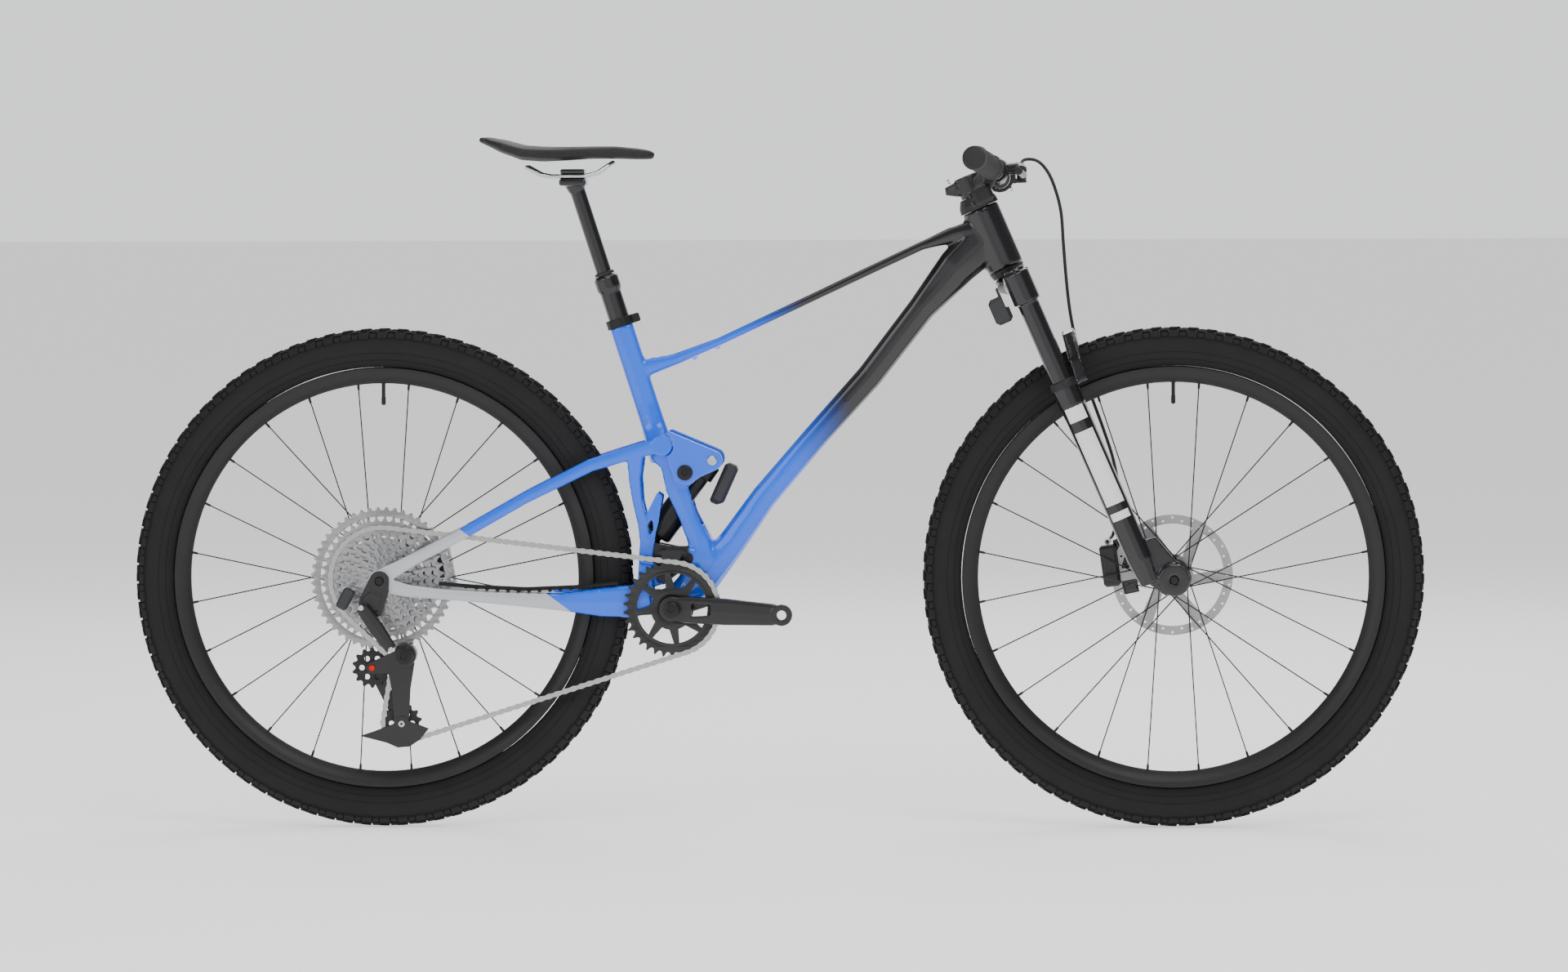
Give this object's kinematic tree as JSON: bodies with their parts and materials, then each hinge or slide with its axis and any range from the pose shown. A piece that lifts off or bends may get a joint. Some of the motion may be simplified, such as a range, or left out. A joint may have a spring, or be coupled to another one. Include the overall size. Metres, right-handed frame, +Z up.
{
  "type": "mountain bike",
  "caption": "Full-suspension mountain bike with a tensioned chain drive, a telescopic fork, a linkage and shock at the rear, disc brakes and a dropper seatpost.",
  "frame": {"origin": "on the ground, on the middle plane, midway between the two axles", "axes": "+X forward, +Y to the rider's left, +Z up"},
  "size_m": [1.918, 0.758, 1.0266],
  "materials": {
    "gloss_blue_paint": "gloss",
    "gloss_black": "gloss",
    "satin_black": "satin",
    "black_rubber": "matte",
    "tyre_rubber": "matte",
    "bright_steel": "satin",
    "saddle_cover": "matte"
  },
  "bodies": {
    "frame": {"main_frame": "gloss_blue_paint", "headset_lower_cup": "satin_black", "headset_upper_cover": "satin_black", "seatpost_outer": "gloss_black", "seat_collar": "satin_black", "bottom_bracket": "satin_black", "chain_guide": "satin_black"},
    "steering": {"fork_crown_steerer_and_stanchions": "gloss_black", "stem": "satin_black", "handlebar": "satin_black", "grip_right": "black_rubber", "grip_left": "black_rubber", "brake_lever_body_right": "satin_black", "brake_lever_body_left": "satin_black", "shifter_pod": "satin_black", "dropper_remote_body": "satin_black", "fork_control_module": "satin_black", "front_brake_hose": "black_rubber"},
    "brake_lever_right": {"brake_lever_blade_right": "satin_black"},
    "brake_lever_left": {"brake_lever_blade_left": "satin_black"},
    "upper_shift_button": {"shift_button_upper": "satin_black"},
    "lower_shift_button": {"shift_button_lower": "satin_black"},
    "dropper_paddle": {"dropper_remote_lever": "satin_black"},
    "fork_lower": {"fork_lowers": "gloss_black", "front_thru_axle": "satin_black", "front_brake_caliper": "satin_black"},
    "front_wheel": {"front_tyre": "tyre_rubber", "front_rim": "satin_black", "front_hub_and_spokes": "satin_black", "front_brake_rotor": "bright_steel"},
    "rear_arm": {"swingarm": "gloss_blue_paint", "chainstay_guard": "black_rubber", "rear_thru_axle": "satin_black", "rear_brake_caliper": "satin_black", "derailleur_mount": "satin_black", "derailleur_battery": "satin_black", "chain": "bright_steel"},
    "rear_wheel": {"rear_tyre": "tyre_rubber", "rear_rim": "satin_black", "rear_hub_and_spokes": "satin_black", "rear_brake_rotor": "bright_steel"},
    "cassette": {"cassette": "bright_steel"},
    "outer_link": {"derailleur_outer_link": "satin_black"},
    "inner_link": {"derailleur_inner_link": "satin_black"},
    "knuckle": {"derailleur_knuckle": "satin_black"},
    "cage": {"derailleur_cage": "satin_black"},
    "upper_pulley": {"upper_pulley": "satin_black"},
    "lower_pulley": {"lower_pulley": "satin_black"},
    "rocker": {"rocker_link": "gloss_blue_paint"},
    "lower_link": {"lower_link": "satin_black"},
    "shock": {"shock_body": "satin_black", "shock_control_module": "satin_black"},
    "air_can": {"shock_air_can": "satin_black"},
    "crank": {"crank_arm_right": "satin_black", "crank_arm_left": "satin_black", "chainring": "satin_black"},
    "seatpost": {"seatpost_inner": "gloss_black", "saddle_rails": "satin_black", "saddle": "saddle_cover"}
  },
  "joints": [
    {"name": "steering", "type": "hinge", "parent": "frame", "child": "steering", "pos_m": [0.301, 0, 0.9194], "axis": [-0.3987, 0, 0.9171], "range_deg": [-60, 60]},
    {"name": "fork_travel", "type": "slide", "parent": "steering", "child": "fork_lower", "axis": [-0.3987, 0, 0.9171], "range_m": [0, 0.11], "stiffness_N_per_m": 8000, "springref_m": -0.03, "deforming": ["front_brake_hose"]},
    {"name": "front_wheel_spin", "type": "hinge", "parent": "fork_lower", "child": "front_wheel", "pos_m": [0.587, 0, 0.372], "axis": [0, 1, 0], "continuous": true},
    {"name": "right_brake_lever", "type": "hinge", "parent": "steering", "child": "brake_lever_right", "pos_m": [0.36263, -0.19858, 0.96895], "axis": [0, 0, -1], "range_deg": [0, 16], "stiffness_Nm_per_rad": 1.5, "springref_deg": -8.59},
    {"name": "left_brake_lever", "type": "hinge", "parent": "steering", "child": "brake_lever_left", "pos_m": [0.36263, 0.19858, 0.96895], "axis": [0, 0, 1], "range_deg": [0, 16], "stiffness_Nm_per_rad": 1.5, "springref_deg": -8.59},
    {"name": "dropper_lever", "type": "hinge", "parent": "steering", "child": "dropper_paddle", "pos_m": [0.31792, 0.23268, 0.95309], "axis": [0, 0, 1], "range_deg": [0, 15], "stiffness_Nm_per_rad": 1, "springref_deg": -8.59},
    {"name": "upper_button", "type": "slide", "parent": "steering", "child": "upper_shift_button", "axis": [0.9135, 0, 0.4067], "range_m": [0, 0.0015], "stiffness_N_per_m": 1500, "springref_m": -0.001},
    {"name": "lower_button", "type": "slide", "parent": "steering", "child": "lower_shift_button", "axis": [0.9135, 0, 0.4067], "range_m": [0, 0.0015], "stiffness_N_per_m": 1500, "springref_m": -0.001},
    {"name": "rear_swing", "type": "hinge", "parent": "frame", "child": "rear_arm", "pos_m": [-0.0862, 0, 0.4295], "axis": [0, 1, 0], "range_deg": [0, 11.46], "stiffness_Nm_per_rad": 900, "springref_deg": -8.59, "deforming": ["chain"]},
    {"name": "rear_wheel_spin", "type": "hinge", "parent": "rear_arm", "child": "rear_wheel", "pos_m": [-0.587, 0, 0.372], "axis": [0, 1, 0], "continuous": true},
    {"name": "cassette_spin", "type": "hinge", "parent": "rear_arm", "child": "cassette", "pos_m": [-0.587, 0, 0.372], "axis": [0, 1, 0], "continuous": true},
    {"name": "derailleur_shift", "type": "hinge", "parent": "rear_arm", "child": "outer_link", "pos_m": [-0.612, -0.103, 0.334], "axis": [0.5763, 0.7074, 0.4092], "range_deg": [-37, 6], "deforming": ["chain"]},
    {"name": "inner_link_pivot", "type": "hinge", "parent": "rear_arm", "child": "inner_link", "pos_m": [-0.612, -0.0915, 0.334], "axis": [0.5763, 0.7074, 0.4092], "range_deg": [-37, 6]},
    {"name": "knuckle_pivot", "type": "hinge", "parent": "outer_link", "child": "knuckle", "pos_m": [-0.568, -0.103, 0.272], "axis": [0.5763, 0.7074, 0.4092], "range_deg": [-6, 37]},
    {"name": "cage_pivot", "type": "hinge", "parent": "knuckle", "child": "cage", "pos_m": [-0.5495, -0.065, 0.2625], "axis": [0, 1, 0], "range_deg": [-40, 6], "stiffness_Nm_per_rad": 0.8, "deforming": ["chain"]},
    {"name": "upper_pulley_spin", "type": "hinge", "parent": "cage", "child": "upper_pulley", "pos_m": [-0.6025, -0.0387, 0.2401], "axis": [0, 1, 0], "continuous": true},
    {"name": "lower_pulley_spin", "type": "hinge", "parent": "cage", "child": "lower_pulley", "pos_m": [-0.5589, -0.0387, 0.157], "axis": [0, 1, 0], "continuous": true},
    {"name": "rocker_pivot", "type": "hinge", "parent": "frame", "child": "rocker", "pos_m": [-0.1358, 0, 0.5303], "axis": [0, 1, 0], "range_deg": [0, 35.71]},
    {"name": "lower_link_pivot", "type": "hinge", "parent": "frame", "child": "lower_link", "pos_m": [-0.1338, 0, 0.4028], "axis": [0, 1, 0], "range_deg": [0, 24.47]},
    {"name": "shock_top_eye", "type": "hinge", "parent": "rocker", "child": "shock", "pos_m": [-0.0956, 0, 0.5481], "axis": [0, 1, 0], "range_deg": [-24.36, 0]},
    {"name": "shock_stroke", "type": "slide", "parent": "shock", "child": "air_can", "axis": [0.5956, 0, 0.8033], "range_m": [0, 0.0419]},
    {"name": "crank_spin", "type": "hinge", "parent": "frame", "child": "crank", "pos_m": [-0.1553, 0, 0.3292], "axis": [0, 1, 0], "continuous": true},
    {"name": "dropper_travel", "type": "slide", "parent": "frame", "child": "seatpost", "axis": [-0.3057, 0, 0.9521], "range_m": [-0.125, 0]}
  ],
  "couplings": [
    {"joint": "cassette_spin", "follows": "crank_spin", "ratio": 0.89474},
    {"joint": "upper_pulley_spin", "follows": "crank_spin", "ratio": -2.4286},
    {"joint": "lower_pulley_spin", "follows": "crank_spin", "ratio": 2.4286},
    {"joint": "rocker_pivot", "follows": "rear_swing", "ratio": 3.115},
    {"joint": "lower_link_pivot", "follows": "rear_swing", "ratio": 2.134},
    {"joint": "shock_top_eye", "follows": "rear_swing", "ratio": -2.125},
    {"joint": "shock_stroke", "follows": "rear_swing", "m_per_rad": 0.2094},
    {"joint": "inner_link_pivot", "follows": "derailleur_shift", "ratio": 1},
    {"joint": "knuckle_pivot", "follows": "derailleur_shift", "ratio": -1}
  ]
}
